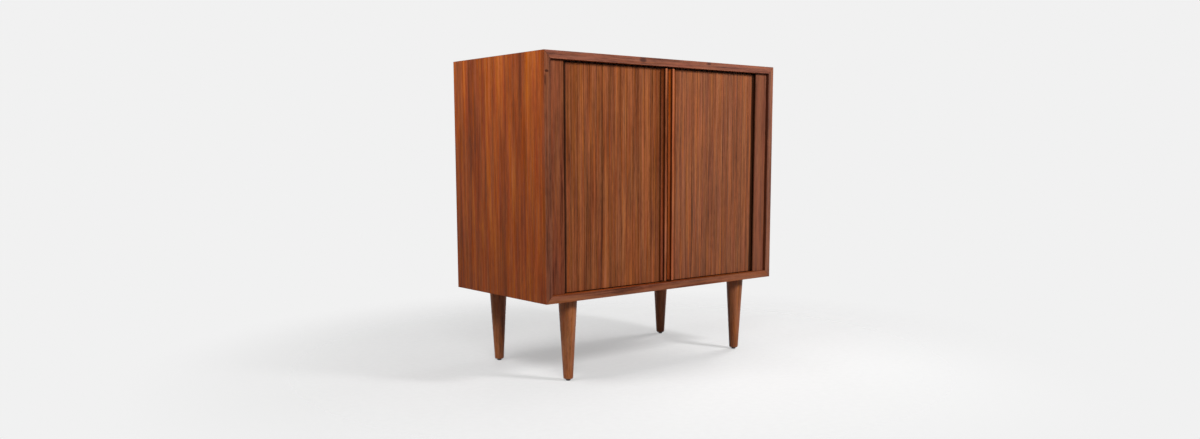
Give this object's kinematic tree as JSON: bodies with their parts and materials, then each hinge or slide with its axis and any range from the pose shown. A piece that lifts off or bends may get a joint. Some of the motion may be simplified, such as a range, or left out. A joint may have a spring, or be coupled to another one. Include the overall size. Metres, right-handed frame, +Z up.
{
  "type": "tambour door cabinet",
  "caption": "Low cabinet on tapered round legs: a mitred wooden case whose slatted tambour curtains part in the middle by coved pulls and run into the sides, with a shelf inside.",
  "frame": {"origin": "on the floor, under the middle of the case, with both curtains closed", "axes": "+X to the viewer's right along the front, +Y from the front to the back, +Z up"},
  "size_m": [0.8128, 0.4064, 0.8128],
  "materials": {
    "case_walnut": "satin",
    "side_walnut": "satin",
    "post_walnut": "satin",
    "slat_walnut": "satin",
    "pull_walnut": "satin",
    "inner_walnut": "satin",
    "leg_walnut": "satin",
    "pin_nickel": "brushed",
    "glide_plastic": "matte",
    "curtain_canvas": "matte"
  },
  "bodies": {
    "case": {"top_panel": "case_walnut", "bottom_panel": "case_walnut", "left_side_panel": "side_walnut", "right_side_panel": "side_walnut", "back_panel": "inner_walnut", "left_post": "post_walnut", "right_post": "post_walnut", "left_pocket_panel": "inner_walnut", "right_pocket_panel": "inner_walnut", "adjustable_shelf": "inner_walnut", "shelf_pin_front_left": "pin_nickel", "shelf_pin_front_right": "pin_nickel", "shelf_pin_back_left": "pin_nickel", "shelf_pin_back_right": "pin_nickel", "leg_front_left": "leg_walnut", "leg_front_right": "leg_walnut", "leg_back_left": "leg_walnut", "leg_back_right": "leg_walnut", "glide_front_left": "glide_plastic", "glide_front_right": "glide_plastic", "glide_back_left": "glide_plastic", "glide_back_right": "glide_plastic", "left_canvas": "curtain_canvas", "right_canvas": "curtain_canvas"},
    "left_lead": {"left_lead_stile": "slat_walnut", "left_pull": "pull_walnut", "left_slat_01": "slat_walnut"},
    "left_slat_02": {"left_slat_02": "slat_walnut"},
    "left_slat_03": {"left_slat_03": "slat_walnut"},
    "left_slat_04": {"left_slat_04": "slat_walnut"},
    "left_slat_05": {"left_slat_05": "slat_walnut"},
    "left_slat_06": {"left_slat_06": "slat_walnut"},
    "left_slat_07": {"left_slat_07": "slat_walnut"},
    "left_slat_08": {"left_slat_08": "slat_walnut"},
    "left_slat_09": {"left_slat_09": "slat_walnut"},
    "left_slat_10": {"left_slat_10": "slat_walnut"},
    "left_slat_11": {"left_slat_11": "slat_walnut"},
    "left_slat_12": {"left_slat_12": "slat_walnut"},
    "left_slat_13": {"left_slat_13": "slat_walnut"},
    "left_slat_14": {"left_slat_14": "slat_walnut"},
    "left_slat_15": {"left_slat_15": "slat_walnut"},
    "left_slat_16": {"left_slat_16": "slat_walnut"},
    "right_lead": {"right_lead_stile": "slat_walnut", "right_pull": "pull_walnut", "right_slat_01": "slat_walnut"},
    "right_slat_02": {"right_slat_02": "slat_walnut"},
    "right_slat_03": {"right_slat_03": "slat_walnut"},
    "right_slat_04": {"right_slat_04": "slat_walnut"},
    "right_slat_05": {"right_slat_05": "slat_walnut"},
    "right_slat_06": {"right_slat_06": "slat_walnut"},
    "right_slat_07": {"right_slat_07": "slat_walnut"},
    "right_slat_08": {"right_slat_08": "slat_walnut"},
    "right_slat_09": {"right_slat_09": "slat_walnut"},
    "right_slat_10": {"right_slat_10": "slat_walnut"},
    "right_slat_11": {"right_slat_11": "slat_walnut"},
    "right_slat_12": {"right_slat_12": "slat_walnut"},
    "right_slat_13": {"right_slat_13": "slat_walnut"},
    "right_slat_14": {"right_slat_14": "slat_walnut"},
    "right_slat_15": {"right_slat_15": "slat_walnut"},
    "right_slat_16": {"right_slat_16": "slat_walnut"}
  },
  "joints": [
    {"name": "left_door_slide", "type": "slide", "parent": "case", "child": "left_lead", "axis": [-1, 0, 0], "range_m": [0, 0.284], "deforming": ["left_canvas"]},
    {"name": "left_slat_02_slide", "type": "slide", "parent": "case", "child": "left_slat_02", "axis": [-1, 0, 0], "range_m": [0, 0.2781], "deforming": ["left_slat_02"]},
    {"name": "left_slat_03_slide", "type": "slide", "parent": "case", "child": "left_slat_03", "axis": [-1, 0, 0], "range_m": [0, 0.2625], "deforming": ["left_slat_03"]},
    {"name": "left_slat_04_slide", "type": "slide", "parent": "case", "child": "left_slat_04", "axis": [-1, 0, 0], "range_m": [0, 0.243], "deforming": ["left_slat_04"]},
    {"name": "left_slat_05_slide", "type": "slide", "parent": "case", "child": "left_slat_05", "axis": [-1, 0, 0], "range_m": [0, 0.2235], "deforming": ["left_slat_05"]},
    {"name": "left_slat_06_slide", "type": "slide", "parent": "case", "child": "left_slat_06", "axis": [-1, 0, 0], "range_m": [0, 0.204], "deforming": ["left_slat_06"]},
    {"name": "left_slat_07_slide", "type": "slide", "parent": "case", "child": "left_slat_07", "axis": [-1, 0, 0], "range_m": [0, 0.1845], "deforming": ["left_slat_07"]},
    {"name": "left_slat_08_slide", "type": "slide", "parent": "case", "child": "left_slat_08", "axis": [-1, 0, 0], "range_m": [0, 0.165], "deforming": ["left_slat_08"]},
    {"name": "left_slat_09_slide", "type": "slide", "parent": "case", "child": "left_slat_09", "axis": [-1, 0, 0], "range_m": [0, 0.1455], "deforming": ["left_slat_09"]},
    {"name": "left_slat_10_slide", "type": "slide", "parent": "case", "child": "left_slat_10", "axis": [-1, 0, 0], "range_m": [0, 0.126], "deforming": ["left_slat_10"]},
    {"name": "left_slat_11_slide", "type": "slide", "parent": "case", "child": "left_slat_11", "axis": [-1, 0, 0], "range_m": [0, 0.1065], "deforming": ["left_slat_11"]},
    {"name": "left_slat_12_slide", "type": "slide", "parent": "case", "child": "left_slat_12", "axis": [-1, 0, 0], "range_m": [0, 0.087], "deforming": ["left_slat_12"]},
    {"name": "left_slat_13_slide", "type": "slide", "parent": "case", "child": "left_slat_13", "axis": [-1, 0, 0], "range_m": [0, 0.0675], "deforming": ["left_slat_13"]},
    {"name": "left_slat_14_slide", "type": "slide", "parent": "case", "child": "left_slat_14", "axis": [-1, 0, 0], "range_m": [0, 0.048], "deforming": ["left_slat_14"]},
    {"name": "left_slat_15_slide", "type": "slide", "parent": "case", "child": "left_slat_15", "axis": [-1, 0, 0], "range_m": [0, 0.0285], "deforming": ["left_slat_15"]},
    {"name": "left_slat_16_slide", "type": "slide", "parent": "case", "child": "left_slat_16", "axis": [-1, 0, 0], "range_m": [0, 0.0095], "deforming": ["left_slat_16"]},
    {"name": "right_door_slide", "type": "slide", "parent": "case", "child": "right_lead", "axis": [1, 0, 0], "range_m": [0, 0.284], "deforming": ["right_canvas"]},
    {"name": "right_slat_02_slide", "type": "slide", "parent": "case", "child": "right_slat_02", "axis": [1, 0, 0], "range_m": [0, 0.2781], "deforming": ["right_slat_02"]},
    {"name": "right_slat_03_slide", "type": "slide", "parent": "case", "child": "right_slat_03", "axis": [1, 0, 0], "range_m": [0, 0.2625], "deforming": ["right_slat_03"]},
    {"name": "right_slat_04_slide", "type": "slide", "parent": "case", "child": "right_slat_04", "axis": [1, 0, 0], "range_m": [0, 0.243], "deforming": ["right_slat_04"]},
    {"name": "right_slat_05_slide", "type": "slide", "parent": "case", "child": "right_slat_05", "axis": [1, 0, 0], "range_m": [0, 0.2235], "deforming": ["right_slat_05"]},
    {"name": "right_slat_06_slide", "type": "slide", "parent": "case", "child": "right_slat_06", "axis": [1, 0, 0], "range_m": [0, 0.204], "deforming": ["right_slat_06"]},
    {"name": "right_slat_07_slide", "type": "slide", "parent": "case", "child": "right_slat_07", "axis": [1, 0, 0], "range_m": [0, 0.1845], "deforming": ["right_slat_07"]},
    {"name": "right_slat_08_slide", "type": "slide", "parent": "case", "child": "right_slat_08", "axis": [1, 0, 0], "range_m": [0, 0.165], "deforming": ["right_slat_08"]},
    {"name": "right_slat_09_slide", "type": "slide", "parent": "case", "child": "right_slat_09", "axis": [1, 0, 0], "range_m": [0, 0.1455], "deforming": ["right_slat_09"]},
    {"name": "right_slat_10_slide", "type": "slide", "parent": "case", "child": "right_slat_10", "axis": [1, 0, 0], "range_m": [0, 0.126], "deforming": ["right_slat_10"]},
    {"name": "right_slat_11_slide", "type": "slide", "parent": "case", "child": "right_slat_11", "axis": [1, 0, 0], "range_m": [0, 0.1065], "deforming": ["right_slat_11"]},
    {"name": "right_slat_12_slide", "type": "slide", "parent": "case", "child": "right_slat_12", "axis": [1, 0, 0], "range_m": [0, 0.087], "deforming": ["right_slat_12"]},
    {"name": "right_slat_13_slide", "type": "slide", "parent": "case", "child": "right_slat_13", "axis": [1, 0, 0], "range_m": [0, 0.0675], "deforming": ["right_slat_13"]},
    {"name": "right_slat_14_slide", "type": "slide", "parent": "case", "child": "right_slat_14", "axis": [1, 0, 0], "range_m": [0, 0.048], "deforming": ["right_slat_14"]},
    {"name": "right_slat_15_slide", "type": "slide", "parent": "case", "child": "right_slat_15", "axis": [1, 0, 0], "range_m": [0, 0.0285], "deforming": ["right_slat_15"]},
    {"name": "right_slat_16_slide", "type": "slide", "parent": "case", "child": "right_slat_16", "axis": [1, 0, 0], "range_m": [0, 0.0095], "deforming": ["right_slat_16"]}
  ],
  "couplings": [
    {"joint": "left_slat_02_slide", "follows": "left_door_slide", "ratio": 0.9785},
    {"joint": "left_slat_03_slide", "follows": "left_door_slide", "ratio": 0.9236},
    {"joint": "left_slat_04_slide", "follows": "left_door_slide", "ratio": 0.8549},
    {"joint": "left_slat_05_slide", "follows": "left_door_slide", "ratio": 0.7863},
    {"joint": "left_slat_06_slide", "follows": "left_door_slide", "ratio": 0.7176},
    {"joint": "left_slat_07_slide", "follows": "left_door_slide", "ratio": 0.6489},
    {"joint": "left_slat_08_slide", "follows": "left_door_slide", "ratio": 0.5803},
    {"joint": "left_slat_09_slide", "follows": "left_door_slide", "ratio": 0.5116},
    {"joint": "left_slat_10_slide", "follows": "left_door_slide", "ratio": 0.443},
    {"joint": "left_slat_11_slide", "follows": "left_door_slide", "ratio": 0.3743},
    {"joint": "left_slat_12_slide", "follows": "left_door_slide", "ratio": 0.3056},
    {"joint": "left_slat_13_slide", "follows": "left_door_slide", "ratio": 0.237},
    {"joint": "left_slat_14_slide", "follows": "left_door_slide", "ratio": 0.1683},
    {"joint": "left_slat_15_slide", "follows": "left_door_slide", "ratio": 0.0997},
    {"joint": "left_slat_16_slide", "follows": "left_door_slide", "ratio": 0.0327},
    {"joint": "right_slat_02_slide", "follows": "right_door_slide", "ratio": 0.9785},
    {"joint": "right_slat_03_slide", "follows": "right_door_slide", "ratio": 0.9236},
    {"joint": "right_slat_04_slide", "follows": "right_door_slide", "ratio": 0.8549},
    {"joint": "right_slat_05_slide", "follows": "right_door_slide", "ratio": 0.7863},
    {"joint": "right_slat_06_slide", "follows": "right_door_slide", "ratio": 0.7176},
    {"joint": "right_slat_07_slide", "follows": "right_door_slide", "ratio": 0.6489},
    {"joint": "right_slat_08_slide", "follows": "right_door_slide", "ratio": 0.5803},
    {"joint": "right_slat_09_slide", "follows": "right_door_slide", "ratio": 0.5116},
    {"joint": "right_slat_10_slide", "follows": "right_door_slide", "ratio": 0.443},
    {"joint": "right_slat_11_slide", "follows": "right_door_slide", "ratio": 0.3743},
    {"joint": "right_slat_12_slide", "follows": "right_door_slide", "ratio": 0.3056},
    {"joint": "right_slat_13_slide", "follows": "right_door_slide", "ratio": 0.237},
    {"joint": "right_slat_14_slide", "follows": "right_door_slide", "ratio": 0.1683},
    {"joint": "right_slat_15_slide", "follows": "right_door_slide", "ratio": 0.0997},
    {"joint": "right_slat_16_slide", "follows": "right_door_slide", "ratio": 0.0327}
  ]
}
